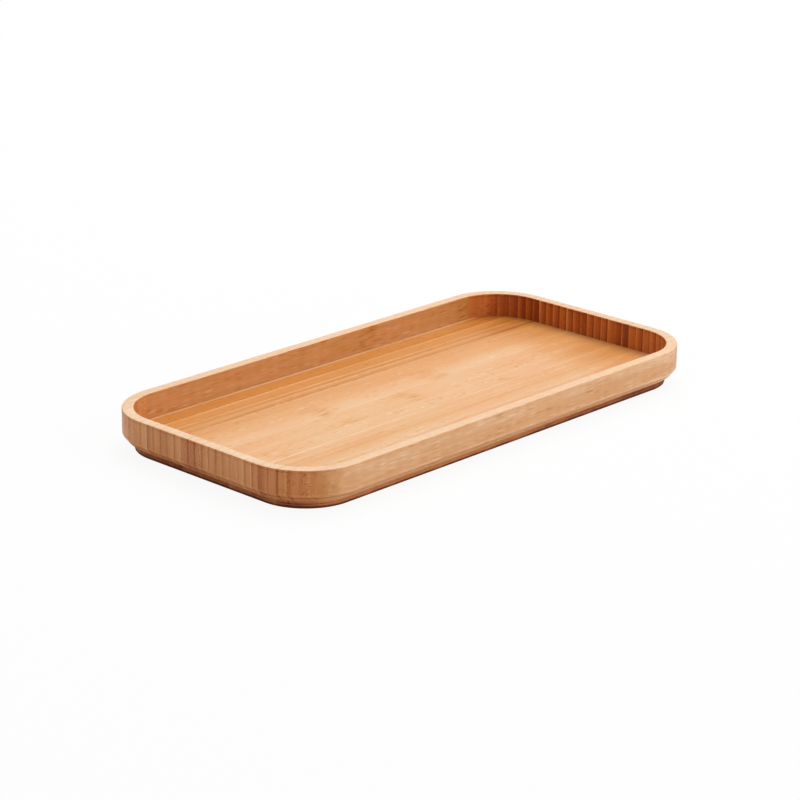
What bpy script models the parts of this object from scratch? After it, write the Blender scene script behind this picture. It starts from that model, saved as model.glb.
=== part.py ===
"""Serving tray of laminated bamboo: a routed ring of on-edge strips around a two-ply floor panel.

The ring's board is one bamboo strip deep. It is glued up from strips that stand on edge and run along X,
then routed to a rounded rectangle. Where its walls run along X the ring is one full-length rail, and
across each end it is a row of short blocks with their end grain showing. The strips are laid from the
front rail, and the hindmost is ripped to fit. Two plies of flat strips make the floor panel, which plugs
the ring from below and stands proud of it as a foot, so that trays stack.

Units are metres. +X runs along the tray, +Z points up, and the origin is at the centre of the underside.
"""

import math

import bmesh
import bpy
from mathutils import Matrix, Vector

# Overall size
LENGTH = 0.350
WIDTH = 0.1756
HEIGHT = 0.0249
CORNER_RADIUS = 0.0393

# Ring
WALL = 0.00705
RAIL_SPARE = 0.0004  # how much thicker a rail's strip is than the wall that is routed from it
RIM_ROUNDING = 0.0007
SKIRT_CHAMFER_WIDTH = 0.0032  # chamfer along the ring's lower outside edge
SKIRT_CHAMFER_HEIGHT = 0.0040

# Floor panel
WELL_DEPTH = 0.0155
FOOT_HEIGHT = 0.0060  # how far the panel stands out below the ring
FOOT_EASING = 0.0008  # small chamfer along the foot's lower edge

# Bamboo stock and glue
STRIP_THICKNESS = 0.0058
STRIP_WIDTH = 0.01895
STRIPS_PER_BLOCK = 2
GLUE_LINE = 0.0003
NARROWEST_STRIP = 0.003  # an edge strip narrower than this is glued up as part of its neighbour

# Fineness of the round surfaces, and how far a strip reaches past the outline before it is trimmed
CORNER_STEPS = 16
ROUNDING_STEPS = 3
TRIM = 0.002
WELD = 0.000001  # points of a swept shape closer than this are one point

# Colours
RAIL_COLOUR = (0.62, 0.36, 0.18)
END_COLOURS = ((0.42, 0.19, 0.08), (0.50, 0.25, 0.11))
FLOOR_COLOURS = ((0.78, 0.50, 0.26), (0.72, 0.43, 0.21))
FOOT_COLOURS = ((0.40, 0.17, 0.07), (0.46, 0.21, 0.09))
BAMBOO_ROUGHNESS = 0.5
SMOOTH_BELOW = math.radians(20)  # edges turning less than this belong to one round surface


def clear_scene():
    """Removes every object of the scene that the script starts in."""
    for obj in list(bpy.data.objects):
        bpy.data.objects.remove(obj, do_unlink=True)


def new_collection(name):
    collection = bpy.data.collections.new(name)
    bpy.context.scene.collection.children.link(collection)
    return collection


def bamboo(name, colour):
    """A satin bamboo finish."""
    material = bpy.data.materials.new(name)
    material.use_nodes = True
    shader = material.node_tree.nodes["Principled BSDF"]
    shader.inputs["Base Color"].default_value = (*colour, 1.0)
    shader.inputs["Roughness"].default_value = BAMBOO_ROUGHNESS
    shader.inputs["Metallic"].default_value = 0.0
    material.diffuse_color = (*colour, 1.0)
    return material


def add_object(name, data, collection):
    obj = bpy.data.objects.new(name, data)
    collection.objects.link(obj)
    return obj


def hide_helper(obj):
    """Keeps a guide or a routing shape out of the model."""
    obj.hide_render = True
    obj.display_type = "WIRE"


def shade_round(mesh):
    """Shades the round surfaces smooth and keeps the real edges sharp."""
    mesh.shade_smooth()
    mesh.set_sharp_from_angle(angle=SMOOTH_BELOW)


def closed_polyline(name, points, collection):
    """A closed 2D curve through (x, y) points."""
    curve = bpy.data.curves.new(name, "CURVE")
    curve.dimensions = "2D"
    spline = curve.splines.new("POLY")
    spline.points.add(len(points) - 1)
    for point, (x, y) in zip(spline.points, points):
        point.co = (x, y, 0.0, 1.0)
    spline.use_cyclic_u = True
    return add_object(name, curve, collection)


def arc(centre, radius, start, sweep, steps):
    """Points of an arc, both ends included. Angles are in degrees."""
    angles = [math.radians(start + sweep * i / steps) for i in range(steps + 1)]
    return [(centre[0] + radius * math.cos(a), centre[1] + radius * math.sin(a)) for a in angles]


def plan_outline(inset):
    """The tray's rounded rectangle in plan, counterclockwise, moved inwards by inset."""
    radius = CORNER_RADIUS - inset
    across_x = LENGTH / 2 - CORNER_RADIUS
    across_y = WIDTH / 2 - CORNER_RADIUS
    corners = ((1, 1, 0), (-1, 1, 90), (-1, -1, 180), (1, -1, 270))
    points = []
    for side_x, side_y, start in corners:
        centre = (side_x * across_x, side_y * across_y)
        points += arc(centre, radius, start, 90, CORNER_STEPS)
    return points


def ring_section():
    """The ring's cross-section as (inset from the outer face, height) points."""
    skirt = [(SKIRT_CHAMFER_WIDTH, FOOT_HEIGHT), (0.0, FOOT_HEIGHT + SKIRT_CHAMFER_HEIGHT)]
    shoulder = HEIGHT - RIM_ROUNDING
    outer_rim = arc((RIM_ROUNDING, shoulder), RIM_ROUNDING, 180, -90, ROUNDING_STEPS)
    inner_rim = arc((WALL - RIM_ROUNDING, shoulder), RIM_ROUNDING, 90, -90, ROUNDING_STEPS)
    return skirt + outer_rim + inner_rim + [(WALL, FOOT_HEIGHT)]


def as_mesh(curve_object, collection):
    """Replaces a curve object with a mesh object of its evaluated, welded shape."""
    bpy.context.view_layer.update()
    evaluated = curve_object.evaluated_get(bpy.context.evaluated_depsgraph_get())
    mesh = bpy.data.meshes.new_from_object(evaluated)
    shape = bmesh.new()
    shape.from_mesh(mesh)
    bmesh.ops.remove_doubles(shape, verts=shape.verts, dist=WELD)
    bmesh.ops.recalc_face_normals(shape, faces=shape.faces)
    shape.to_mesh(mesh)
    shape.free()
    shade_round(mesh)
    solid = add_object(f"{curve_object.name}_solid", mesh, collection)
    solid.matrix_world = curve_object.matrix_world
    bpy.data.objects.remove(curve_object, do_unlink=True)
    hide_helper(solid)
    return solid


def ring_blank(collection):
    """The routed ring in one piece: its cross-section swept around the tray's outline."""
    # A sweep lays +X of its section on the left of the path, which is inside a counterclockwise outline.
    section = closed_polyline("ring_section", ring_section(), collection)
    hide_helper(section)
    sweep = closed_polyline("ring_blank", plan_outline(0.0), collection)
    sweep.data.bevel_mode = "OBJECT"
    sweep.data.bevel_object = section
    return as_mesh(sweep, collection)


def panel_blank(collection):
    """The floor panel in one piece: a rounded slab with its lower edge eased."""
    shape = bmesh.new()
    rim = [shape.verts.new((x, y, 0.0)) for x, y in plan_outline(WALL + GLUE_LINE)]
    bottom = shape.faces.new(rim)
    raised = bmesh.ops.extrude_face_region(shape, geom=[bottom], use_keep_orig=True)
    top_verts = [item for item in raised["geom"] if isinstance(item, bmesh.types.BMVert)]
    bmesh.ops.translate(shape, verts=top_verts, vec=(0.0, 0.0, HEIGHT - WELL_DEPTH))
    bmesh.ops.recalc_face_normals(shape, faces=shape.faces)
    lower_edges = [edge for edge in shape.edges if all(vert.co.z == 0.0 for vert in edge.verts)]
    bmesh.ops.bevel(shape, geom=lower_edges, offset=FOOT_EASING, segments=1, profile=0.5, affect="EDGES")
    mesh = bpy.data.meshes.new("panel_blank")
    shape.to_mesh(mesh)
    shape.free()
    shade_round(mesh)
    solid = add_object("panel_blank", mesh, collection)
    hide_helper(solid)
    return solid


def strip(name, low, high, blank, material, tray):
    """A bar from corner low to corner high, trimmed to the shape of the blank that it is glued into."""
    low, high = Vector(low), Vector(high)
    shape = bmesh.new()
    bmesh.ops.create_cube(shape, size=1.0, matrix=Matrix.Diagonal((*(high - low), 1.0)))
    mesh = bpy.data.meshes.new(name)
    shape.to_mesh(mesh)
    shape.free()
    mesh.materials.append(material)
    obj = add_object(name, mesh, tray.users_collection[0])
    obj.location = (low + high) / 2
    obj.parent = tray
    trimming = obj.modifiers.new("trim", "BOOLEAN")
    trimming.operation = "INTERSECT"
    trimming.solver = "EXACT"
    trimming.object = blank
    return obj


def spans_between(joints, edge):
    """(low, high) of each strip between glue joints, the outer two reaching past the edge to be trimmed."""
    lows = [-edge - TRIM] + [joint + GLUE_LINE / 2 for joint in joints]
    highs = [joint - GLUE_LINE / 2 for joint in joints] + [edge + TRIM]
    return list(zip(lows, highs))


def laid_joints(first_joint, edge):
    """Joints of full-width strips laid both ways from the middle, with no sliver left at an edge."""
    joints = []
    joint = first_joint
    while joint < edge - NARROWEST_STRIP:
        joints += [joint, -joint] if joint > 0.0 else [joint]
        joint += STRIP_WIDTH
    return sorted(joints)


def add_rails(blank, tray):
    """The two full-length strips of the ring's long sides, front and back."""
    material = bamboo("rail_bamboo", RAIL_COLOUR)
    reach_x = LENGTH / 2 + TRIM
    outer = WIDTH / 2 + TRIM
    inner = WIDTH / 2 - WALL - RAIL_SPARE + GLUE_LINE / 2
    low_z, high_z = FOOT_HEIGHT - TRIM, HEIGHT + TRIM
    strip("front_rail", (-reach_x, -outer, low_z), (reach_x, -inner, high_z), blank, material, tray)
    strip("back_rail", (-reach_x, inner, low_z), (reach_x, outer, high_z), blank, material, tray)


def end_joints(edge):
    """Joints of the on-edge strips, laid from the front rail; the last strip takes what is left."""
    strips = math.ceil((2 * edge - NARROWEST_STRIP) / STRIP_THICKNESS)
    return [i * STRIP_THICKNESS - edge for i in range(strips)] + [edge]


def add_end_blocks(blank, tray):
    """The rows of on-edge strips across the two ends, glued two by two and numbered from the front."""
    materials = [bamboo(f"end_bamboo_{i + 1}", colour) for i, colour in enumerate(END_COLOURS)]
    joints = end_joints(WIDTH / 2 - WALL - RAIL_SPARE)
    last_joint = len(joints) - 1
    reach_x = LENGTH / 2 + TRIM
    low_z, high_z = FOOT_HEIGHT - TRIM, HEIGHT + TRIM
    for side, start_x, end_x in (("left", -reach_x, -GLUE_LINE), ("right", GLUE_LINE, reach_x)):
        for i, first in enumerate(range(0, last_joint, STRIPS_PER_BLOCK)):
            last = min(first + STRIPS_PER_BLOCK, last_joint)
            low = (start_x, joints[first] + GLUE_LINE / 2, low_z)
            high = (end_x, joints[last] - GLUE_LINE / 2, high_z)
            strip(f"{side}_end_block_{i + 1:02d}", low, high, blank, materials[i % 2], tray)


def add_panel_plies(blank, tray):
    """The floor strips and, below them, the foot strips with their joints staggered by half a strip."""
    edge = WIDTH / 2 - WALL - GLUE_LINE
    reach_x = LENGTH / 2
    floor_height = HEIGHT - WELL_DEPTH
    middle = floor_height / 2
    plies = (
        ("floor_strip", FLOOR_COLOURS, STRIP_WIDTH / 2, middle + GLUE_LINE / 2, floor_height + TRIM),
        ("foot_strip", FOOT_COLOURS, 0.0, -TRIM, middle - GLUE_LINE / 2),
    )
    for name, colours, first_joint, low_z, high_z in plies:
        materials = [bamboo(f"{name}_bamboo_{i + 1}", colour) for i, colour in enumerate(colours)]
        spans = spans_between(laid_joints(first_joint, edge), edge)
        for i, (low_y, high_y) in enumerate(spans):
            low, high = (-reach_x, low_y, low_z), (reach_x, high_y, high_z)
            strip(f"{name}_{i + 1:02d}", low, high, blank, materials[i % 2], tray)


def main():
    clear_scene()
    parts = new_collection("serving_tray")
    shapes = new_collection("routing_shapes")
    tray = add_object("serving_tray", None, parts)
    ring = ring_blank(shapes)
    panel = panel_blank(shapes)
    add_rails(ring, tray)
    add_end_blocks(ring, tray)
    add_panel_plies(panel, tray)


main()
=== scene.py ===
"""Finished look of a serving tray made of laminated bamboo.

The tray is a ring routed from a board of bamboo strips on edge, around a floor panel of two plies of flat
strips. Every strip is a piece of its own, cut from a smooth blank of the whole ring or panel. It carries
the facts of its own wood: how deep its colour is, how it fades across, where its knuckle lies and whether
its joints show as pale or dark lines. One bamboo shader reads those facts.

Units are metres. +X runs along the tray and its grain, and +Z points up.
"""

import logging
import math
import random
from dataclasses import dataclass, field, replace
from enum import Enum
from functools import partial, reduce

import bmesh
import bpy
from bmesh.types import BMEdge, BMesh, BMFace, BMVert
from bpy.types import Light, Material, Mesh, Node, NodeSocket
from mathutils import Matrix, Vector


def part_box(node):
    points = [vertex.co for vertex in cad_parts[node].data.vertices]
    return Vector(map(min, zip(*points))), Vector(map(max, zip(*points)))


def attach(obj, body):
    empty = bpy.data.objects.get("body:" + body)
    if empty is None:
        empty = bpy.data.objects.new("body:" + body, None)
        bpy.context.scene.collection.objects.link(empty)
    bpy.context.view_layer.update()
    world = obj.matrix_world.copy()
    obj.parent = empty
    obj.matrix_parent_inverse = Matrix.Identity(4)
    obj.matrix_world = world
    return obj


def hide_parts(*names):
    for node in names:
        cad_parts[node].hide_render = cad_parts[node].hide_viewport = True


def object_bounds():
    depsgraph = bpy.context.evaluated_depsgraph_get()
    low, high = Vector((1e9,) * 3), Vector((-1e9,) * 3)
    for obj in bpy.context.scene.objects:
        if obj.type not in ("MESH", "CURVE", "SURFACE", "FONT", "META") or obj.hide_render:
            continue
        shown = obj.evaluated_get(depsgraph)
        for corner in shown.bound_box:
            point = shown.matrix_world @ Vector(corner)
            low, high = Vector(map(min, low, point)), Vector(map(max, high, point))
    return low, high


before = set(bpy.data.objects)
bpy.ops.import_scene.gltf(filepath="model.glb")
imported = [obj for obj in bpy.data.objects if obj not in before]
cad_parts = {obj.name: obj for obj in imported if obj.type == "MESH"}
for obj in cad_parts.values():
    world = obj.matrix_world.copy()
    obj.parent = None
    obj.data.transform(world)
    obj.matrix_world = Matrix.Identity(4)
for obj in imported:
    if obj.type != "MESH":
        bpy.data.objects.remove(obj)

CAD_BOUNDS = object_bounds()
BODY = "root"
GLUE_LINE = 0.0003  # the frame's gap at every joint, which the finished strips close
WELD = 0.000001
RIM_SPARE = 0.000002  # how far the finished rim stays under the top of the frame's box
WOOD_SEED = 28
NOISE_ROUGHNESS = 0.55

Triple = tuple[float, float, float]
Colour = Triple  # linear red, green and blue
Rate = Triple  # how often a pattern changes along X, Y and Z, per metre
Span = tuple[float, float]  # from one value to another
Value = NodeSocket | float | tuple[float, ...]

log = logging.getLogger("serving_tray")


class Tone(Enum):
    """How deep a strip's colour is, from 0, the palest wood, to 1, the darkest rind."""

    STRAW = 0.16
    HONEY = 0.25
    TAN = 0.36
    AMBER = 0.46
    RUSSET = 0.56
    UMBER = 0.68


@dataclass(frozen=True)
class Figure:
    """How often each part of a strip's figure changes."""

    broad: Rate
    medium: Rate
    layers: Rate
    clouds: Rate
    bundles: Rate
    rows: Rate


class Lay(Enum):
    """The figure that a strip shows by the way that it lies."""

    RAIL = Figure(
        broad=(2.2, 90.0, 90.0), medium=(12.0, 360.0, 360.0), layers=(3.0, 420.0, 60.0),
        clouds=(34.0, 110.0, 120.0), bundles=(110.0, 1000.0, 1900.0), rows=(34.0, 170.0, 170.0),
    )
    END = Figure(
        broad=(2.2, 150.0, 12.0), medium=(7.0, 520.0, 26.0), layers=(3.0, 420.0, 12.0),
        clouds=(20.0, 120.0, 70.0), bundles=(42.0, 1200.0, 1200.0), rows=(26.0, 170.0, 170.0),
    )
    FLAT = Figure(
        broad=(2.2, 60.0, 60.0), medium=(6.0, 320.0, 320.0), layers=(3.0, 90.0, 420.0),
        clouds=(17.0, 48.0, 48.0), bundles=(180.0, 720.0, 720.0), rows=(9.0, 220.0, 220.0),
    )


@dataclass(frozen=True)
class Wood:
    """What sets one strip's wood apart from its neighbours'.

    A fade deepens the colour towards the front edge, and a belly deepens it in the middle. A line along an
    edge and a vein along the strip are pale where they are positive and dark where they are negative. The
    veins' places are shares of the strip's width, from the front, and the knuckles' places are along X.
    """

    tone: Tone
    fade: float = 0.0
    belly: float = 0.0
    streaks: float = 1.0
    front_line: float = 0.0
    back_line: float = 0.0
    veins: Triple = (0.0, 0.0, 0.0)
    vein_places: Triple = (0.25, 0.5, 0.75)
    knuckles: tuple[float, float] = (0.0, 0.0)
    knuckle: float = 0.0


@dataclass(frozen=True)
class Palette:
    """Bamboo's colours from pale to dark, as linear RGB, and the flush that comes and goes over them."""

    cream: Colour = (0.90, 0.62, 0.36)
    straw: Colour = (0.80, 0.42, 0.15)
    honey: Colour = (0.70, 0.28, 0.068)
    russet: Colour = (0.55, 0.155, 0.022)
    umber: Colour = (0.30, 0.055, 0.006)
    blush: Colour = (1.0, 0.955, 0.93)

    def stops(self) -> list[Colour]:
        """The colours of the ramp, evenly spaced from pale to dark."""
        return [self.cream, self.straw, self.honey, self.russet, self.umber]


RAIL_PALETTE = Palette(cream=(0.92, 0.63, 0.385), straw=(0.78, 0.405, 0.182), honey=(0.62, 0.275, 0.088))
BACK_PALETTE = replace(RAIL_PALETTE, honey=(0.62, 0.278, 0.064))
RIGHT_PALETTE = Palette(
    cream=(0.905, 0.68, 0.455),
    straw=(0.80, 0.39, 0.136),
    honey=(0.70, 0.268, 0.070),
    russet=(0.57, 0.142, 0.016),
    umber=(0.29, 0.047, 0.004),
)
LEFT_PALETTE = replace(
    RIGHT_PALETTE,
    cream=(0.94, 0.705, 0.475),
    straw=(0.82, 0.39, 0.140),
    honey=(0.67, 0.264, 0.085),
    russet=(0.52, 0.15, 0.03),
)
FLOOR_PALETTE = Palette(
    cream=(0.90, 0.600, 0.348),
    straw=(0.80, 0.393, 0.128),
    honey=(0.68, 0.274, 0.058),
    russet=(0.55, 0.178, 0.022),
    blush=(1.0, 0.93, 0.885),
)
# The foot's palette is deeper to paint the shade under the ring's overhang, and its darkest colour serves
# the painted contact shade along the foot's bottom edge
FOOT_SHADED_PALETTE = Palette(honey=(0.63, 0.265, 0.106), russet=(0.48, 0.145, 0.045), umber=(0.16, 0.036, 0.013))


@dataclass(frozen=True)
class Patches:
    """Soft-edged patches that come where a noise is high: worth least between them, and most inside them."""

    rate: Rate
    edge: Span
    least: float = 0.0
    most: float = 1.0


class Graph:
    """A material's node tree, whose nodes are wired as they are made."""

    def __init__(self, name: str) -> None:
        """Starts an empty material.

        Args:
            name: The material's name.
        """
        self.material = bpy.data.materials.new(name)
        self.material.use_nodes = True
        self.tree = self.material.node_tree
        self.tree.nodes.clear()

    def node(self, kind: str, inputs: dict[int | str, Value] | None = None, **settings: object) -> Node:
        """Adds a node.

        Args:
            kind: The node's type.
            inputs: Its inputs by name or number, each a socket to link or a value to set.
            settings: Its other settings.

        Returns:
            The node.
        """
        made = self.tree.nodes.new(kind)
        for name, setting in settings.items():
            setattr(made, name, setting)
        for key, value in (inputs or {}).items():
            if isinstance(value, NodeSocket):
                self.tree.links.new(value, made.inputs[key])
            else:
                made.inputs[key].default_value = value
        return made

    def math(self, operation: str, *values: Value) -> NodeSocket:
        """The result of one Math node on the values."""
        return self.node("ShaderNodeMath", dict(enumerate(values)), operation=operation).outputs[0]

    def total(self, *values: Value) -> NodeSocket:
        """The sum of the values."""
        return reduce(partial(self.math, "ADD"), values)

    def product(self, *values: Value) -> NodeSocket:
        """The product of the values."""
        return reduce(partial(self.math, "MULTIPLY"), values)

    def apart(self, first: Value, second: Value) -> NodeSocket:
        """How far apart two values are."""
        return self.math("ABSOLUTE", self.math("SUBTRACT", first, second))

    def step(self, value: Value, span: Span, ends: Span = (0.0, 1.0)) -> NodeSocket:
        """A smooth step.

        Args:
            value: What is compared with the span.
            span: The values at which the step starts and ends.
            ends: What the step gives below the span and above it.

        Returns:
            The result, from the first of the ends to the second.
        """
        inputs = {"Value": value}
        inputs |= {"From Min": span[0], "From Max": span[1], "To Min": ends[0], "To Max": ends[1]}
        return self.node("ShaderNodeMapRange", inputs, interpolation_type="SMOOTHSTEP").outputs[0]

    def fall(self, value: Value, span: Span) -> NodeSocket:
        """A smooth fall from 1 below the span to 0 above it."""
        return self.step(value, span, (1.0, 0.0))

    def split(self, vector: NodeSocket) -> list[NodeSocket]:
        """The three parts of a vector."""
        return list(self.node("ShaderNodeSeparateXYZ", {0: vector}).outputs)

    def attribute(self, name: str) -> NodeSocket:
        """A vector attribute of the mesh."""
        return self.node("ShaderNodeAttribute", attribute_name=name).outputs["Vector"]

    def vector_math(self, operation: str, first: Value, second: Value) -> NodeSocket:
        """The vector that one Vector Math node makes."""
        return self.node("ShaderNodeVectorMath", {0: first, 1: second}, operation=operation).outputs[0]

    def noise(self, place: NodeSocket, rate: Rate, detail: float = 2.0) -> NodeSocket:
        """Smooth noise about 0.

        Args:
            place: The coordinates to read.
            rate: How often the noise changes.
            detail: How many finer layers it has.

        Returns:
            Noise that is mostly between -0.25 and 0.25.
        """
        scaled = self.vector_math("MULTIPLY", place, rate)
        inputs = {"Vector": scaled, "Scale": 1.0, "Detail": detail, "Roughness": NOISE_ROUGHNESS}
        return self.math("SUBTRACT", self.node("ShaderNodeTexNoise", inputs).outputs[0], 0.5)

    def patches(self, place: NodeSocket, kind: Patches) -> NodeSocket:
        """Soft-edged patches of a kind."""
        return self.step(self.noise(place, kind.rate), kind.edge, (kind.least, kind.most))

    def bundles(self, place: NodeSocket, rate: Rate) -> tuple[NodeSocket, NodeSocket]:
        """Scattered cells, such as the fibre bundles of bamboo.

        Args:
            place: The coordinates to read.
            rate: How many cells there are.

        Returns:
            The distance from the middle of the nearest cell, in cells, and that cell's own number from
            0 to 1.
        """
        scaled = self.vector_math("MULTIPLY", place, rate)
        cells = self.node("ShaderNodeTexVoronoi", {"Vector": scaled, "Scale": 1.0})
        return cells.outputs["Distance"], self.split(cells.outputs["Color"])[0]

    def ramp(self, value: NodeSocket, colours: list[Colour]) -> NodeSocket:
        """Turns a value into a colour.

        Args:
            value: The value, from 0 to 1.
            colours: Evenly spaced colours, from the one at 0 to the one at 1.

        Returns:
            The colour at the value.
        """
        made = self.node("ShaderNodeValToRGB", {0: value})
        elements = made.color_ramp.elements
        while len(elements) < len(colours):
            elements.new(0.5)
        for number, (element, colour) in enumerate(zip(elements, colours)):
            element.position = number / (len(colours) - 1)
            element.color = (*colour, 1.0)
        return made.outputs[0]

    def tint(self, share: NodeSocket, colour: NodeSocket, tint: Colour) -> NodeSocket:
        """Multiplies a colour by a share of a tint.

        Args:
            share: How much of the tint shows, from 0 to 1.
            colour: The colour.
            tint: The tint.

        Returns:
            The tinted colour.
        """
        made = self.node("ShaderNodeMix", {0: share}, data_type="RGBA", blend_type="MULTIPLY")
        first, second = (socket for socket in made.inputs if socket.type == "RGBA")
        self.tree.links.new(colour, first)
        second.default_value = (*tint, 1.0)
        return next(socket for socket in made.outputs if socket.type == "RGBA")


@dataclass(frozen=True)
class HeightLine:
    """A line round the tray at one height, deeper in colour, or paler where its strength is negative."""

    middle: float
    reach: float
    strength: float
    inside_too: bool = False


# How squarely a surface faces along the tray where it is end grain, and up where it is the rim or is level
END_FACING = (0.2, 0.9)
RIM_FACING = (0.66, 0.95)
LEVEL_FACING = (0.75, 0.95)
# A surface's place times its normal, which is above 0 outside the tray and below 0 in its well
OUTSIDE = (-0.02, 0.02)
WELL_SHADE_SIDE = (-0.12, -0.02)
# Places along the tray from its middle, and how much of the right margin is lifted again beside the wall,
# which on the floor is painted light at the foot of the right end wall
TIPS = (0.132, 0.156)
MARGIN_FULL = 0.152
MARGIN_LIFT = (0.148, 0.168)
MARGIN_LIFT_SHARE = 0.55
# Where lines round the tray, most of them painted shade and highlights, and lines along joints are whole,
# and where the right margin is streaked
HEIGHT_LINE_BREAKS = Patches((60.0, 150.0, 150.0), (-0.17, 0.06), least=0.5)
JOINT_LINE_BREAKS = Patches((20.0, 60.0, 60.0), (-0.20, 0.10), least=0.35)
MARGIN_STREAKS = Patches((8.0, 110.0, 110.0), (-0.12, 0.12), least=0.5, most=1.5)
# The rim's speckle, how far it frays the edge of the pale crown, and how far it deepens the crown
CROWN_SPECKLE = (300.0, 700.0, 700.0)
CROWN_FRAY = 0.5
SPECKLE_DEPTH = 0.34
# The clouds in which the flush shows, and the depths over which it leaves the wood
FLUSH_EDGE = (-0.12, 0.14)
FLUSH_DEPTHS = (0.25, 0.50)
# A bundle's edge and its pore's, in cells, and the cells' numbers that are dark, pale or open pores
BUNDLE_EDGE = (0.25, 0.60)
PORE_EDGE = (0.12, 0.40)
DARK_BUNDLES = (0.72, 0.84)
PALE_BUNDLES = (0.16, 0.28)
PALE_BUNDLE_SHARE = 0.75
PORE_BUNDLES = (0.3, 0.6)
ROW_EDGE = (-0.04, 0.10)
LAYER_WAVE = (30.0, 0.0, 110.0)
# A knuckle's sway along the strip and its reach, its brush marks and the clumps that they come in
KNUCKLE_SWAY = (20.0, 260.0, 260.0)
KNUCKLE_SWAY_REACH = 0.03
KNUCKLE_REACH = (0.001, 0.013)
KNUCKLE_BRUSH = Patches((90.0, 700.0, 700.0), (-0.02, 0.16), least=0.2, most=1.2)
KNUCKLE_CLUMPS = Patches((30.0, 120.0, 120.0), (-0.12, 0.12))
# What fibres and pores do to the sheen and to the surface
FIBRE_ROUGHNESS = 0.4
PORE_ROUGHNESS = 0.2
PORE_RELIEF = 0.4
RELIEF_HEIGHT = 0.0003


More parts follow.
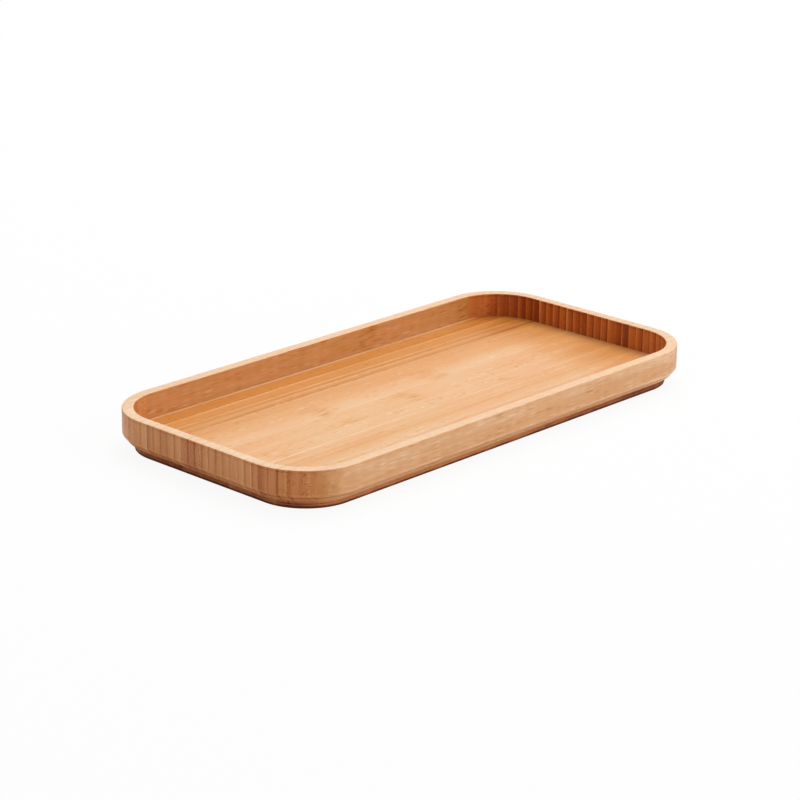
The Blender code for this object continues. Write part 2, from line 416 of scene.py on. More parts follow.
@dataclass(frozen=True)
class BambooFinish:
    """Bamboo, planed, sanded and oiled to a satin sheen.

    Every pattern adds to the depth of the strip's colour or takes from it, and a ramp turns the depth into
    a colour.
    """

    name: str
    slot: str
    lay: Lay
    palette: Palette = Palette()
    crown: float = 0.0
    crown_depth: float = 0.03
    end_grain: float = 0.0
    # painted shade on the inner faces of the end walls, which face into the well
    painted_well_shade: float = 0.0
    right_margin: float = 0.0
    margin_start: float = 0.105
    tips: float = 0.0
    heights: tuple[HeightLine, ...] = ()
    broad: float = 0.20
    medium: float = 0.22
    layers: float = 0.16
    clouds: float = 0.10
    bundles: float = 0.10
    marks: float = 0.10
    pores: float = 0.16
    warp: float = 0.0
    vein_width: float = 0.0
    line_width: float = 0.0011
    line_depth: float = 0.22
    roughness: float = 0.36
    gloss: float = 0.34
    relief: float = 0.25

    def material(self) -> Material:
        """Wires the finish.

        Returns:
            The material, which its strips share.
        """
        graph = Graph(self.name)
        place = graph.node("ShaderNodeTexCoord").outputs["Object"]
        grain = graph.vector_math("ADD", place, graph.attribute("origin"))
        facing = graph.split(graph.node("ShaderNodeNewGeometry").outputs["Normal"])
        endness = graph.step(graph.math("ABSOLUTE", facing[0]), END_FACING)
        fibres, pores = self._fibres(graph, grain)
        pores = graph.product(pores, endness)
        depth = graph.total(
            self._strip_depth(graph, grain),
            self._knuckles(graph, place, grain),
            self._places(graph, place, grain, facing),
            fibres,
            graph.product(graph.noise(grain, self.lay.value.clouds), self.clouds),
            graph.product(pores, self.pores),
            graph.product(endness, self.end_grain),
        )
        if self.crown:
            depth = self._crowned(graph, grain, facing[2], depth)
        flush = graph.patches(place, Patches(self.lay.value.clouds, FLUSH_EDGE))
        flush = graph.product(flush, graph.fall(depth, FLUSH_DEPTHS))
        colour = graph.tint(flush, graph.ramp(depth, self.palette.stops()), self.palette.blush)
        uneven = graph.total(graph.product(fibres, FIBRE_ROUGHNESS), graph.product(pores, PORE_ROUGHNESS))
        relief = graph.total(graph.product(fibres, -1.0), graph.product(pores, -PORE_RELIEF))
        bumped = {"Strength": self.relief, "Distance": RELIEF_HEIGHT, "Height": relief}
        inputs = {
            "Base Color": colour,
            "Roughness": graph.total(self.roughness, uneven),
            "Specular IOR Level": self.gloss,
            "Normal": graph.node("ShaderNodeBump", bumped).outputs[0],
        }
        shader = graph.node("ShaderNodeBsdfPrincipled", inputs)
        graph.node("ShaderNodeOutputMaterial", {"Surface": shader.outputs[0]})
        return graph.material

    def _crowned(self, graph: Graph, grain: NodeSocket, up: NodeSocket, depth: NodeSocket) -> NodeSocket:
        """Lays the pale, speckled crown over the rim.

        Args:
            graph: The material's nodes.
            grain: The coordinates in the strip.
            up: How squarely the surface faces up.
            depth: The depth without the crown.

        Returns:
            The depth with it.
        """
        speckle = graph.noise(grain, CROWN_SPECKLE)
        frayed = graph.total(up, graph.product(speckle, CROWN_FRAY))
        crown = graph.product(graph.step(frayed, RIM_FACING), self.crown)
        pale = graph.total(self.crown_depth, graph.product(speckle, SPECKLE_DEPTH))
        return graph.total(depth, graph.product(crown, graph.math("SUBTRACT", pale, depth)))

    def _places(
        self, graph: Graph, place: NodeSocket, grain: NodeSocket, facing: list[NodeSocket]
    ) -> NodeSocket:
        """The depth that comes with where the surface is.

        Args:
            graph: The material's nodes.
            place: The coordinates on the tray.
            grain: The coordinates in the strip.
            facing: The three parts of the surface's normal.

        Returns:
            The depth from the lines round the tray, mostly painted shade and highlights, the painted shade
            on the inside of its end walls, its right margin, which on the floor is painted shade, and its
            tips.
        """
        along, across, height = graph.split(place)
        endwards = graph.product(facing[0], along)
        outside = graph.step(graph.total(endwards, graph.product(facing[1], across)), OUTSIDE)
        upright = graph.fall(graph.math("ABSOLUTE", facing[2]), LEVEL_FACING)
        whole = graph.patches(place, HEIGHT_LINE_BREAKS)
        depths = [0.0]
        for line in self.heights:
            near = graph.fall(graph.apart(height, line.middle), (0.0, line.reach))
            side = 1.0 if line.inside_too else outside
            depths.append(graph.product(near, whole, upright, side, line.strength))
        # Painted shade: the end walls' inner faces are deepened where they face into the well
        if self.painted_well_shade:
            depths.append(graph.product(graph.fall(endwards, WELL_SHADE_SIDE), self.painted_well_shade))
        # On the floor the right margin is painted shade beside the right end wall, with painted light again
        # right at the wall; on the rails and the foot it only makes them paler or deeper towards the right
        # end
        if self.right_margin:
            lift = graph.step(along, MARGIN_LIFT, (0.0, MARGIN_LIFT_SHARE))
            margin = graph.math("SUBTRACT", graph.step(along, (self.margin_start, MARGIN_FULL)), lift)
            depths.append(graph.product(margin, graph.patches(grain, MARGIN_STREAKS), self.right_margin))
        if self.tips:
            depths.append(graph.product(graph.step(graph.math("ABSOLUTE", along), TIPS), self.tips))
        return graph.total(*depths)

    def _strip_depth(self, graph: Graph, grain: NodeSocket) -> NodeSocket:
        """The strip's own depth of colour.

        Args:
            graph: The material's nodes.
            grain: The coordinates in the strip.

        Returns:
            The depth from its tone, fade, belly and veins and the lines along its joints.
        """
        tone, fade, belly = graph.split(graph.attribute("tone"))
        across, from_front, from_back = graph.split(graph.attribute("place"))
        front_line, back_line, _ = graph.split(graph.attribute("lines"))
        towards_front = graph.math("SUBTRACT", 0.5, across)
        off_centre = graph.product(towards_front, towards_front, 4.0)
        depth = graph.total(
            tone,
            graph.product(fade, towards_front),
            graph.product(belly, graph.math("SUBTRACT", 0.5, off_centre)),
        )
        lines = [
            graph.product(strength, graph.fall(distance, (0.0, self.line_width)))
            for strength, distance in ((front_line, from_front), (back_line, from_back))
        ]
        if self.vein_width:
            strengths = graph.split(graph.attribute("veins"))
            middles = graph.split(graph.attribute("vein_places"))
            for strength, middle in zip(strengths, middles):
                near = graph.fall(graph.apart(from_front, middle), (0.0, self.vein_width))
                lines.append(graph.product(strength, near))
        whole = graph.patches(grain, JOINT_LINE_BREAKS)
        return graph.total(depth, graph.product(graph.total(*lines), whole, -self.line_depth))

    def _fibres(self, graph: Graph, grain: NodeSocket) -> tuple[NodeSocket, NodeSocket]:
        """The streaks along the grain, the growth layers across it and the fibre bundles.

        Args:
            graph: The material's nodes.
            grain: The coordinates in the strip.

        Returns:
            The depth that they add, and the bundles' cut ends as dots from 0 to 1.
        """
        figure = self.lay.value
        streaks = graph.split(graph.attribute("lines"))[2]
        distance, chance = graph.bundles(grain, figure.bundles)
        near = graph.fall(distance, BUNDLE_EDGE)
        layered = grain
        if self.warp:
            wave = graph.product(graph.noise(grain, LAYER_WAVE, 1.0), self.warp)
            shift = graph.node("ShaderNodeCombineXYZ", {1: wave}).outputs[0]
            layered = graph.vector_math("ADD", grain, shift)
        threads = graph.total(
            graph.product(graph.noise(grain, figure.broad), self.broad),
            graph.product(graph.noise(grain, figure.medium), self.medium),
            graph.product(graph.noise(layered, figure.layers), self.layers),
            graph.product(graph.math("SUBTRACT", chance, 0.5), near, self.bundles),
        )
        gathered = graph.patches(grain, Patches(figure.rows, ROW_EDGE))
        dark = graph.step(chance, DARK_BUNDLES)
        pale = graph.step(chance, PALE_BUNDLES, (-PALE_BUNDLE_SHARE, 0.0))
        marks = graph.product(graph.total(dark, pale), near, gathered, self.marks)
        pores = graph.product(graph.fall(distance, PORE_EDGE), graph.step(chance, PORE_BUNDLES), gathered)
        return graph.total(graph.product(threads, streaks), marks), pores

    def _knuckles(self, graph: Graph, place: NodeSocket, grain: NodeSocket) -> NodeSocket:
        """Brushed dark marks where the stem had its joints.

        Args:
            graph: The material's nodes.
            place: The coordinates on the tray.
            grain: The coordinates in the strip.

        Returns:
            The depth that they add.
        """
        first, second, strength = graph.split(graph.attribute("knuckles"))
        sway = graph.product(graph.noise(grain, KNUCKLE_SWAY), KNUCKLE_SWAY_REACH)
        along = graph.total(graph.split(place)[0], sway)
        nearest = graph.math("MINIMUM", graph.apart(along, first), graph.apart(along, second))
        brush, clumps = graph.patches(grain, KNUCKLE_BRUSH), graph.patches(grain, KNUCKLE_CLUMPS)
        return graph.product(graph.fall(nearest, KNUCKLE_REACH), brush, clumps, strength)


def ease(
    shape: BMesh,
    parts: list[BMEdge] | list[BMVert],
    radius: float,
    steps: int,
    affect: str = "EDGES",
    clamped: bool = False,
) -> None:
    """Rounds edges or corners of a mesh.

    Args:
        shape: The mesh.
        parts: The edges, or the corners of a flat outline.
        radius: How far the rounding reaches.
        steps: How many facets it has.
        affect: EDGES or VERTICES.
        clamped: Whether the rounding stops short of its neighbours.
    """
    bmesh.ops.bevel(
        shape, geom=parts, offset=radius, segments=steps, profile=0.5, affect=affect, material=-1,
        clamp_overlap=clamped,
    )


@dataclass
class Bench:
    """Where strips are cut from their blanks and made into finished pieces."""

    seam: float = 0.00003  # half the gap between two neighbours
    arris: float = 0.00004
    arris_steps: int = 1
    smooth_below: float = math.radians(24)
    figure_reach: float = 1.0  # how far off each strip's own figure may start
    chance: random.Random = field(default_factory=lambda: random.Random(WOOD_SEED))

    def cut(self, blank: BMesh, low: float | None, high: float | None, side: int = 0) -> BMesh:
        """Cuts the strip between two joints out of a copy of a blank.

        Args:
            blank: The whole ring or panel.
            low: The joint at the strip's front edge, or None where the strip runs to the blank's own edge.
            high: The joint at its back edge, or None.
            side: -1 or 1 to keep only what lies on that side of the middle of X.

        Returns:
            The strip, closed, with a fine arris along its joints.
        """
        shape = blank.copy()
        if side:
            self._saw(shape, 0.0, Vector((-side, 0.0, 0.0)))
        caps = []
        if low is not None:
            caps += self._saw(shape, low + self.seam, Vector((0.0, -1.0, 0.0)))
        if high is not None:
            caps += self._saw(shape, high - self.seam, Vector((0.0, 1.0, 0.0)))
        edges = list(dict.fromkeys(edge for cap in caps for edge in cap.edges))
        ease(shape, edges, self.arris, self.arris_steps, clamped=True)
        bmesh.ops.recalc_face_normals(shape, faces=shape.faces)
        return shape

    def _saw(self, shape: BMesh, along: float, away: Vector) -> list[BMFace]:
        """Cuts off what lies beyond a plane and closes the cut.

        Args:
            shape: The mesh to cut.
            along: Where the plane crosses its axis.
            away: The plane's normal, along an axis, pointing at what is cut off.

        Returns:
            The faces that close the cut.
        """
        everything = shape.verts[:] + shape.edges[:] + shape.faces[:]
        point = Vector(abs(part) * along for part in away)
        bmesh.ops.bisect_plane(
            shape, geom=everything, dist=WELD, plane_co=point, plane_no=away, clear_outer=True
        )
        rim = [edge for edge in shape.edges if edge.is_boundary]
        return bmesh.ops.holes_fill(shape, edges=rim, sides=0)["faces"]

    def finish(
        self, name: str, shape: BMesh, wood: Wood, finish: BambooFinish, material: Material, node: str
    ) -> None:
        """Turns a cut strip into a finished piece in place of a node of the frame.

        Args:
            name: The piece's name.
            shape: The strip, which is freed.
            wood: The facts of its wood.
            finish: Its finish, which is not used.
            material: The finish's material.
            node: The node that it stands for, alone or with others.
        """
        mesh = bpy.data.meshes.new(name)
        shape.to_mesh(mesh)
        shape.free()
        mesh.materials.append(material)
        mesh.shade_smooth()
        mesh.set_sharp_from_angle(angle=self.smooth_below)
        self._note(mesh, wood)
        piece = bpy.data.objects.new(name, mesh)
        bpy.context.scene.collection.objects.link(piece)
        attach(piece, BODY)
        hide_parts(node)
        log.info("%s: %d faces, replaces %s", name, len(mesh.polygons), node)

    def _note(self, mesh: Mesh, wood: Wood) -> None:
        """Writes the facts of a strip's wood on its mesh, where the shader reads them.

        Args:
            mesh: The strip's mesh.
            wood: The facts.
        """
        front = min(vert.co.y for vert in mesh.vertices)
        back = max(vert.co.y for vert in mesh.vertices)
        origin = [self.chance.uniform(-self.figure_reach, self.figure_reach) for _ in range(3)]
        notes = {
            "origin": lambda y: origin,
            "tone": lambda y: (wood.tone.value, wood.fade, wood.belly),
            "place": lambda y: ((y - front) / (back - front), y - front, back - y),
            "lines": lambda y: (wood.front_line, wood.back_line, wood.streaks),
            "knuckles": lambda y: (*wood.knuckles, wood.knuckle),
            "veins": lambda y: wood.veins,
            "vein_places": lambda y: [share * (back - front) for share in wood.vein_places],
        }
        for name, fact in notes.items():
            stored = mesh.attributes.new(name, "FLOAT_VECTOR", "POINT")
            for vert, item in zip(mesh.vertices, stored.data):
                item.vector = fact(vert.co.y)


# A painted highlight along the arris over the ring's chamfer, painted shade under it and a painted highlight
# on the chamfer's lower part
SKIRT_LIGHT_AND_SHADE = (
    HeightLine(0.0100, 0.0010, -0.14),
    HeightLine(0.0080, 0.0011, 0.22),
    HeightLine(0.0062, 0.0013, -0.19),
)
# A painted highlight near the top of the foot with a painted shadow line under it, and painted contact shade
# along the edge that it stands on
FOOT_LIGHT_AND_SHADE = (
    HeightLine(0.0040, 0.0010, -0.15),
    HeightLine(0.0027, 0.0009, 0.27),
    HeightLine(0.0, 0.0023, 1.1),
)
# The paler upper part of the rails, and the shade under the rim of the ends
RAIL_BLOOM = HeightLine(0.0225, 0.0080, -0.05)
RIM_SHADE = HeightLine(0.0236, 0.0010, 0.14, inside_too=True)

FRONT_FINISH = BambooFinish(
    "front_rail_bamboo_finish", "rail_bamboo", Lay.RAIL, RAIL_PALETTE, crown=0.85, end_grain=0.45,
    right_margin=-0.10, margin_start=0.06, tips=0.10, heights=(*SKIRT_LIGHT_AND_SHADE, RAIL_BLOOM),
    broad=0.10, medium=0.18, layers=0.26, clouds=0.13, bundles=0.24, marks=0.24, warp=0.010,
)
BACK_FINISH = replace(
    FRONT_FINISH, name="back_rail_bamboo_finish", palette=BACK_PALETTE, right_margin=0.13,
    margin_start=0.085,
)
RIGHT_FINISH = BambooFinish(
    "right_end_bamboo_finish", "end_bamboo", Lay.END, RIGHT_PALETTE, crown=0.85, end_grain=0.2, painted_well_shade=0.12,
    heights=(*SKIRT_LIGHT_AND_SHADE, RIM_SHADE),
    broad=0.14, medium=0.24, layers=0.22, clouds=0.10, marks=0.14, pores=0.18, line_depth=0.30,
)
LEFT_FINISH = replace(
    RIGHT_FINISH, name="left_end_bamboo_finish", palette=LEFT_PALETTE, medium=0.30, marks=0.22,
    line_depth=0.36,
)
# The floor's right margin is painted shade beside the right end wall
FLOOR_FINISH = BambooFinish(
    "floor_bamboo_finish", "floor_bamboo", Lay.FLAT, FLOOR_PALETTE, end_grain=0.3, right_margin=0.20,
    broad=0.08, medium=0.10, layers=0.05, clouds=0.13, bundles=0.08, marks=0.12,
    vein_width=0.0016, line_width=0.0016, line_depth=0.28,
)
# The foot's finish paints the shade under the ring's overhang with its deeper palette and its lines, and it
# is deeper towards its right end
FOOT_FINISH = BambooFinish(
    "foot_bamboo_finish", "foot_bamboo", Lay.FLAT, FOOT_SHADED_PALETTE, end_grain=0.22, right_margin=0.29,
    margin_start=-0.06, heights=FOOT_LIGHT_AND_SHADE,
)

FRONT_WOOD = Wood(Tone.HONEY, knuckles=(-0.03, -0.152), knuckle=0.12)
BACK_WOOD = Wood(Tone.TAN, knuckles=(0.045, 0.136), knuckle=0.34)


@dataclass(frozen=True)
class EndRow:
    """The row of strips across one end.

    Every strip has the row's fade and lines, and chance spreads its fade and deepens its dark lines. Pale
    lines of single strips are given by number. Beside the rails all of this is calmer.
    """

    name: str
    side: int
    finish: BambooFinish
    tones: tuple[Tone, ...]
    fade: float
    belly: float
    front_line: float
    back_line: float
    pale_fronts: dict[int, float] = field(default_factory=dict)
    pale_backs: dict[int, float] = field(default_factory=dict)
    fade_spread: float = 0.18
    line_spread: Span = (-0.2, 0.6)
    calm_strips: float = 2.5  # how many strips the calm reaches from a rail
    calm_start: float = 0.4  # how far into that reach the strip beside the rail is

    def wood(self, number: int, chance: random.Random) -> Wood:
        """The wood of one strip.

        Args:
            number: The strip's number from the front.
            chance: What its own spread is drawn from.

        Returns:
            Its wood.
        """
        spread = chance.uniform(-self.fade_spread, self.fade_spread)
        edge = chance.uniform(*self.line_spread)
        from_rail = min(number - 1, len(self.tones) - number)
        calm = min(1.0, (from_rail + self.calm_start) / self.calm_strips)
        return Wood(
            self.tones[number - 1],
            fade=calm * (self.fade + spread),
            belly=self.belly,
            front_line=calm * self.pale_fronts.get(number, self._deepened(self.front_line, edge)),
            back_line=calm * self.pale_backs.get(number, self._deepened(self.back_line, edge)),
        )

    @staticmethod
    def _deepened(line: float, edge: float) -> float:
        """A dark line deepened by a strip's own chance, or a pale one as it is."""
        return line - edge if line < 0.0 else line


# The tones of the end strips, from the front rail to the back one
LEFT_TONES = (
    Tone.AMBER, Tone.AMBER, Tone.TAN, Tone.TAN, Tone.AMBER, Tone.TAN, Tone.HONEY,
    Tone.STRAW, Tone.HONEY, Tone.HONEY, Tone.HONEY, Tone.HONEY, Tone.HONEY, Tone.TAN,
    Tone.AMBER, Tone.TAN, Tone.HONEY, Tone.HONEY, Tone.TAN, Tone.HONEY, Tone.TAN,
    Tone.STRAW, Tone.HONEY, Tone.HONEY, Tone.STRAW, Tone.STRAW, Tone.TAN, Tone.TAN,
)
RIGHT_TONES = (
    Tone.TAN, Tone.TAN, Tone.TAN, Tone.TAN, Tone.TAN, Tone.TAN, Tone.TAN,
    Tone.TAN, Tone.UMBER, Tone.RUSSET, Tone.TAN, Tone.AMBER, Tone.AMBER, Tone.AMBER,
    Tone.RUSSET, Tone.AMBER, Tone.AMBER, Tone.AMBER, Tone.AMBER, Tone.AMBER, Tone.AMBER,
    Tone.UMBER, Tone.RUSSET, Tone.RUSSET, Tone.RUSSET, Tone.RUSSET, Tone.RUSSET, Tone.RUSSET,
)
LEFT_ROW = EndRow(
    "left_end", -1, LEFT_FINISH, LEFT_TONES, fade=-0.10, belly=-0.04, front_line=-0.3, back_line=-0.2,
    pale_fronts={7: 0.6, 9: 0.5, 17: 0.4, 22: 0.55},
)
RIGHT_ROW = EndRow(
    "right_end", 1, RIGHT_FINISH, RIGHT_TONES, fade=0.30, belly=0.04, front_line=-0.2, back_line=0.15,
    pale_backs={9: 2.4, 11: 1.0, 17: 1.6, 21: 3.0},
)


@dataclass
class Ring:
    """The routed ring: a rail along each long side, and a row of strips across each end."""

    bench: Bench
    length: float
    width: float
    height: float
    corner_radius: float = 0.0393
    wall: float = 0.00705
    rim_rounding: float = 0.0007
    skirt_width: float = 0.0032
    skirt_height: float = 0.0040
    foot_height: float = 0.0060
    arris: float = 0.0003
    corner_steps: int = 40
    rim_steps: int = 6
    arris_steps: int = 2
    blocks: int = 14
    strips_per_block: int = 2

    def build(self) -> None:
        """Makes both rails and both rows of end strips."""
        blank = self._blank()
        self._rails(blank)
        joints = self._end_joints()
        for row in (LEFT_ROW, RIGHT_ROW):
            self._end(blank, joints, row)
        blank.free()

    def _section(self, shape: BMesh, centre: Vector) -> list[BMEdge]:
        """Draws the ring's cross-section where a corner begins.

        Args:
            shape: The mesh to draw in.
            centre: The corner's centre.

        Returns:
            The section's edges, a closed loop.
        """
        skirt_top = self.foot_height + self.skirt_height
        corners = (
            (self.skirt_width, self.foot_height),
            (0.0, skirt_top),
            (0.0, self.height),
            (self.wall, self.height),
            (self.wall, self.foot_height),
        )
        outer_x = centre.x + self.corner_radius
        verts = [shape.verts.new((outer_x - inset, centre.y, height)) for inset, height in corners]
        shape.faces.new(verts)
        ease(shape, verts[2:4], self.rim_rounding, self.rim_steps, "VERTICES")
        ease(shape, verts[:2], self.arris, self.arris_steps, "VERTICES")
        bmesh.ops.delete(shape, geom=shape.faces[:], context="FACES_ONLY")
        return shape.edges[:]

    def _blank(self) -> BMesh:
        """Runs the section along a quarter of the ring, and mirrors the quarter twice.

        Returns:
            The whole ring in one piece.
        """
        shape = bmesh.new()
        centre = Vector((self.length / 2 - self.corner_radius, self.width / 2 - self.corner_radius, 0.0))
        section = self._section(shape, centre)
        turned = bmesh.ops.spin(
            shape, geom=section, cent=centre, axis=(0.0, 0.0, 1.0), angle=math.pi / 2,
            steps=self.corner_steps,
        )
        turned_section = [item for item in turned["geom_last"] if isinstance(item, BMEdge)]
        for edges, run in ((section, (0.0, -centre.y, 0.0)), (turned_section, (-centre.x, 0.0, 0.0))):
            grown = bmesh.ops.extrude_edge_only(shape, edges=edges)
            moved = [item for item in grown["geom"] if isinstance(item, BMVert)]
            bmesh.ops.translate(shape, verts=moved, vec=run)
        for axis in "XY":
            everything = shape.verts[:] + shape.edges[:] + shape.faces[:]
            bmesh.ops.mirror(shape, geom=everything, axis=axis, merge_dist=WELD)
        bmesh.ops.remove_doubles(shape, verts=shape.verts, dist=WELD)
        bmesh.ops.recalc_face_normals(shape, faces=shape.faces)
        return shape

    def _rails(self, blank: BMesh) -> None:
        """Cuts the two full-length strips of the long sides.

        Args:
            blank: The whole ring.
        """
        front_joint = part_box("front_rail")[1].y + GLUE_LINE / 2
        back_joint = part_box("back_rail")[0].y - GLUE_LINE / 2
        rails = (
            ("front_rail", None, front_joint, FRONT_WOOD, FRONT_FINISH),
            ("back_rail", back_joint, None, BACK_WOOD, BACK_FINISH),
        )
        for node, low, high, wood, finish in rails:
            shape = self.bench.cut(blank, low, high)
            self.bench.finish(f"{node}_strip", shape, wood, finish, finish.material(), node)

    def _end(self, blank: BMesh, joints: list[float], row: EndRow) -> None:
        """Cuts the row of strips across an end, two to a block, numbered from the front.

        Args:
            blank: The whole ring.
            joints: The joints across the end, from the front rail to the back rail.
            row: The row to cut.
        """
        material = row.finish.material()
        for number in range(1, len(row.tones) + 1):
            shape = self.bench.cut(blank, joints[number - 1], joints[number], row.side)
            wood = row.wood(number, self.bench.chance)
            node = f"{row.name}_block_{(number - 1) // self.strips_per_block + 1:02d}"
            self.bench.finish(f"{row.name}_strip_{number:02d}", shape, wood, row.finish, material, node)

    def _end_joints(self) -> list[float]:
        """Reads the joints across an end from the frame's blocks.

        Returns:
            The joints, from the front rail to the back rail.
        """
        boxes = [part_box(f"left_end_block_{i + 1:02d}") for i in range(self.blocks)]
        pitch = (boxes[0][1].y - boxes[0][0].y + GLUE_LINE) / self.strips_per_block
        joints = []
        for low, high in boxes:
            joints += [low.y - GLUE_LINE / 2 + pitch * i for i in range(self.strips_per_block)]
        return joints + [boxes[-1][1].y + GLUE_LINE / 2]


# The floor's and the foot's strips, from the front rail to the back one
FLOOR_WOODS = (
    Wood(Tone.HONEY),
    Wood(Tone.STRAW, belly=0.12, knuckles=(-0.014, 0.11), knuckle=0.3, back_line=0.3),
    Wood(Tone.STRAW, belly=0.10, back_line=-0.3, veins=(0.0, -0.3, -0.2)),
    Wood(Tone.STRAW, fade=0.06, knuckles=(0.065, -0.126), knuckle=0.25, veins=(0.55, 0.0, 0.0)),
    Wood(Tone.STRAW, knuckles=(0.0, -0.062), knuckle=0.25),
    Wood(Tone.STRAW, fade=-0.16, knuckles=(-0.0595, 0.0397), knuckle=0.3),
    Wood(
        Tone.TAN, fade=-0.28, belly=-0.06, streaks=1.4, back_line=-0.3,
        veins=(0.35, 0.85, -0.5), vein_places=(0.62, 0.79, 0.93),
    ),
    Wood(
        Tone.AMBER, belly=0.10, streaks=1.8, back_line=1.5,
        veins=(0.85, -0.45, 1.05), vein_places=(0.163, 0.31, 0.44),
    ),
    # The back strip's fade is painted light along the back wall, and its vein near the back edge is a
    # painted highlight where the floor meets the wall
    Wood(
        Tone.AMBER, fade=0.38, streaks=2.4, front_line=0.4, back_line=-0.3,
        veins=(0.0, 0.0, 2.3), vein_places=(0.3, 0.6, 0.875),
    ),
)
FOOT_WOODS = tuple(
    Wood(tone)
    for tone in (
        Tone.TAN, Tone.AMBER, Tone.TAN, Tone.HONEY, Tone.TAN,
        Tone.TAN, Tone.AMBER, Tone.TAN, Tone.HONEY, Tone.TAN,
    )
)


@dataclass
class Panel:
    """The floor panel: a ply of floor strips over a ply of foot strips."""

    bench: Bench
    length: float
    width: float
    corner_radius: float
    easing: float = 0.0004
    corner_steps: int = 40
    easing_steps: int = 4
    ply_gap: float = 0.00002  # half the gap between the plies

    def build(self) -> None:
        """Makes both plies."""
        floor_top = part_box("floor_strip_05")[1].z
        foot_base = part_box("foot_strip_05")[0].z
        seam = (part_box("floor_strip_05")[0].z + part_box("foot_strip_05")[1].z) / 2
        floor = self._slab(seam + self.ply_gap, floor_top)
        self._ply(floor, "floor_strip", "floor_board", FLOOR_WOODS, FLOOR_FINISH)
        foot = self._slab(foot_base, seam - self.ply_gap)
        base_edges = [
            edge for edge in foot.edges if all(abs(vert.co.z - foot_base) < WELD for vert in edge.verts)
        ]
        ease(foot, base_edges, self.easing, self.easing_steps)
        self._ply(foot, "foot_strip", "foot_board", FOOT_WOODS, FOOT_FINISH)

    def _slab(self, base: float, top: float) -> BMesh:
        """A rounded slab the size of the panel.

        Args:
            base: The height of its underside.
            top: The height of its top.

        Returns:
            The slab.
        """
        shape = bmesh.new()
        size = Matrix.Diagonal((self.length, self.width, top - base, 1.0))
        middle = Matrix.Translation((0.0, 0.0, (base + top) / 2))
        bmesh.ops.create_cube(shape, size=1.0, matrix=middle @ size)
        upright = [edge for edge in shape.edges if abs(edge.verts[0].co.z - edge.verts[1].co.z) > WELD]
        ease(shape, upright, self.corner_radius, self.corner_steps)
        return shape

    def _ply(self, slab: BMesh, node: str, name: str, woods: tuple[Wood, ...], finish: BambooFinish) -> None:
        """Cuts a slab into its strips.

        Args:
            slab: The slab, which is freed.
            node: The name that the frame's nodes of this ply begin with.
            name: The name that its pieces begin with.
            woods: The facts of each strip's wood, from the front.
            finish: The ply's finish.
        """
        material = finish.material()
        last = len(woods)
        for number, wood in enumerate(woods, 1):
            low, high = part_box(f"{node}_{number:02d}")
            front = None if number == 1 else low.y - GLUE_LINE / 2
            back = None if number == last else high.y + GLUE_LINE / 2
            shape = self.bench.cut(slab, front, back)
            self.bench.finish(f"{name}_{number:02d}", shape, wood, finish, material, f"{node}_{number:02d}")
        slab.free()


WHITE = (1.0, 1.0, 1.0, 1.0)


@dataclass(frozen=True)
class TableFinish:
    """White paper that glows a little for the camera, so that the table fades into the background."""

    name: str = "table_white"
    white: float = 0.92
    glow: float = 0.92

    def material(self) -> Material:
        """Wires the finish.

        Returns:
            The table's material.
        """
        graph = Graph(self.name)
        paper = graph.node("ShaderNodeBsdfDiffuse", {"Color": (*[self.white] * 3, 1.0)})
        glow = graph.node("ShaderNodeEmission", {"Color": WHITE, "Strength": 1.0})
        seen = graph.node("ShaderNodeLightPath").outputs["Is Camera Ray"]
        share = graph.product(seen, self.glow)
        mixed = graph.node("ShaderNodeMixShader", {0: share, 1: paper.outputs[0], 2: glow.outputs[0]})
        graph.node("ShaderNodeOutputMaterial", {"Surface": mixed.outputs[0]})
        return graph.material


@dataclass(frozen=True)
class Softbox:
    """A square soft light that points at the middle of the tray."""

    name: str
    place: Triple
    size: float
    power: float

    def hang(self) -> None:
        """Hangs the light."""
        light: Light = bpy.data.lights.new(self.name, "AREA")
        light.shape = "SQUARE"
        light.size = self.size
        light.energy = self.power
        place = Vector(self.place)
        softbox = bpy.data.objects.new(self.name, light)
        softbox.location = place
        softbox.rotation_euler = place.to_track_quat("Z", "Y").to_euler()
        bpy.context.scene.collection.objects.link(softbox)


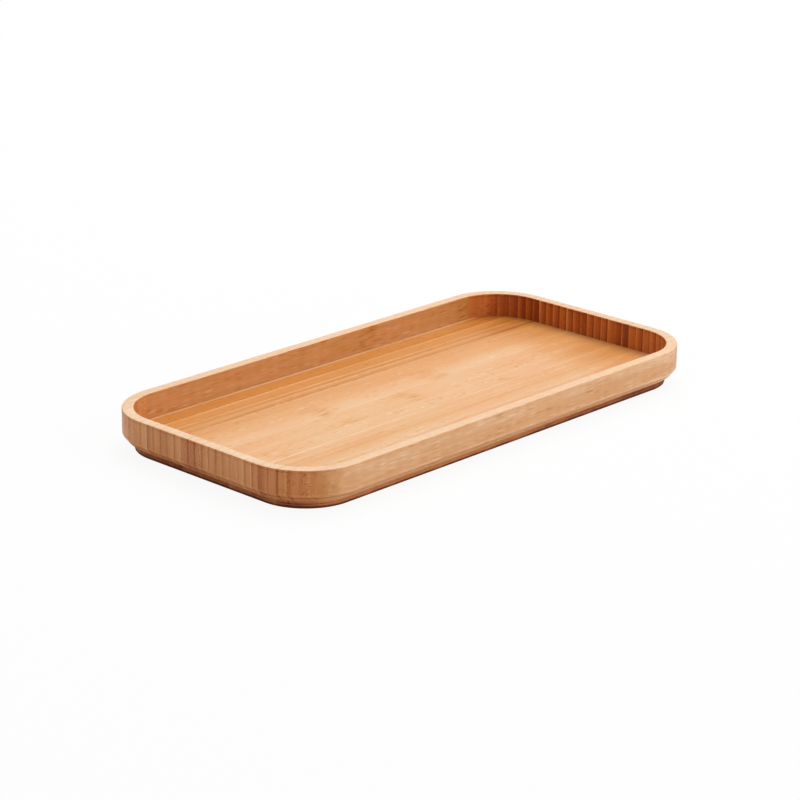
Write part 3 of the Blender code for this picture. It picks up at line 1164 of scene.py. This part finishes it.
@dataclass
class Studio:
    """A white table in plain soft light, and the camera."""

    azimuth: float = math.radians(-46.540)
    elevation: float = math.radians(19.204)
    roll: float = math.radians(0.551)
    distance: float = 1.6068
    shift_right: float = -0.00598
    shift_up: float = 0.0064
    lens: float = 118.84
    sensor: float = 36.0
    table_size: float = 24.0
    table_finish: TableFinish = TableFinish()
    surround: float = 0.36
    softboxes: tuple[Softbox, ...] = (
        Softbox("key_light", (1.2, 0.5, 2.6), size=2.6, power=66.0),
        Softbox("front_light", (0.3, -2.2, 0.9), size=1.6, power=13.0),
    )

    def build(self) -> None:
        """Makes the table, the surround, the lights and the camera."""
        bpy.context.scene.view_settings.view_transform = "Standard"
        self._table()
        self._surround()
        for softbox in self.softboxes:
            softbox.hang()
        self._camera()

    def _table(self) -> None:
        """Lays the table under the tray."""
        shape = bmesh.new()
        bmesh.ops.create_grid(shape, x_segments=1, y_segments=1, size=self.table_size / 2)
        mesh = bpy.data.meshes.new("table")
        shape.to_mesh(mesh)
        shape.free()
        mesh.materials.append(self.table_finish.material())
        table = bpy.data.objects.new("table", mesh)
        bpy.context.scene.collection.objects.link(table)

    def _surround(self) -> None:
        """Sets a white surround for the camera and for reflections, which lights the tray more softly."""
        world = bpy.data.worlds.new("white_surround")
        bpy.context.scene.world = world
        world.use_nodes = True
        nodes, links = world.node_tree.nodes, world.node_tree.links
        nodes.clear()
        rays = nodes.new("ShaderNodeLightPath")
        either = rays.outputs["Is Camera Ray"]
        for name in ("Is Glossy Ray", "Is Transmission Ray"):
            both = nodes.new("ShaderNodeMath")
            both.operation = "MAXIMUM"
            links.new(either, both.inputs[0])
            links.new(rays.outputs[name], both.inputs[1])
            either = both.outputs[0]
        light, white = nodes.new("ShaderNodeBackground"), nodes.new("ShaderNodeBackground")
        light.inputs["Strength"].default_value = self.surround
        for background in (light, white):
            background.inputs["Color"].default_value = WHITE
        mixed = nodes.new("ShaderNodeMixShader")
        links.new(either, mixed.inputs[0])
        links.new(light.outputs[0], mixed.inputs[1])
        links.new(white.outputs[0], mixed.inputs[2])
        links.new(mixed.outputs[0], nodes.new("ShaderNodeOutputWorld").inputs["Surface"])

    def _camera(self) -> None:
        """Sets up the camera that looks at the tray's front left corner."""
        back = Vector((
            math.sin(self.azimuth) * math.cos(self.elevation),
            -math.cos(self.azimuth) * math.cos(self.elevation),
            math.sin(self.elevation),
        ))
        right = (-back).cross(Vector((0.0, 0.0, 1.0))).normalized()
        up = right.cross(-back)
        data = bpy.data.cameras.new("camera")
        data.lens = self.lens
        data.sensor_width = self.sensor
        camera = bpy.data.objects.new("camera", data)
        bpy.context.scene.collection.objects.link(camera)
        turned_right = right * math.cos(self.roll) + up * math.sin(self.roll)
        turned_up = up * math.cos(self.roll) - right * math.sin(self.roll)
        turn = Matrix((turned_right, turned_up, back)).transposed().to_4x4()
        place = right * self.shift_right + up * self.shift_up + back * self.distance
        camera.matrix_world = Matrix.Translation(place) @ turn
        bpy.context.scene.camera = camera


def main() -> None:
    """Builds the tray's sub-assemblies in order, then the studio around it."""
    logging.basicConfig(level=logging.INFO, format="%(name)s: %(message)s")
    low, high = CAD_BOUNDS
    bench = Bench()
    ring = Ring(bench, length=high.x - low.x, width=high.y - low.y, height=high.z - RIM_SPARE)
    ring.build()
    inset = ring.wall + bench.seam
    panel = Panel(bench, ring.length - 2 * inset, ring.width - 2 * inset, ring.corner_radius - inset)
    panel.build()
    Studio().build()


if __name__ == "__main__":
    main()
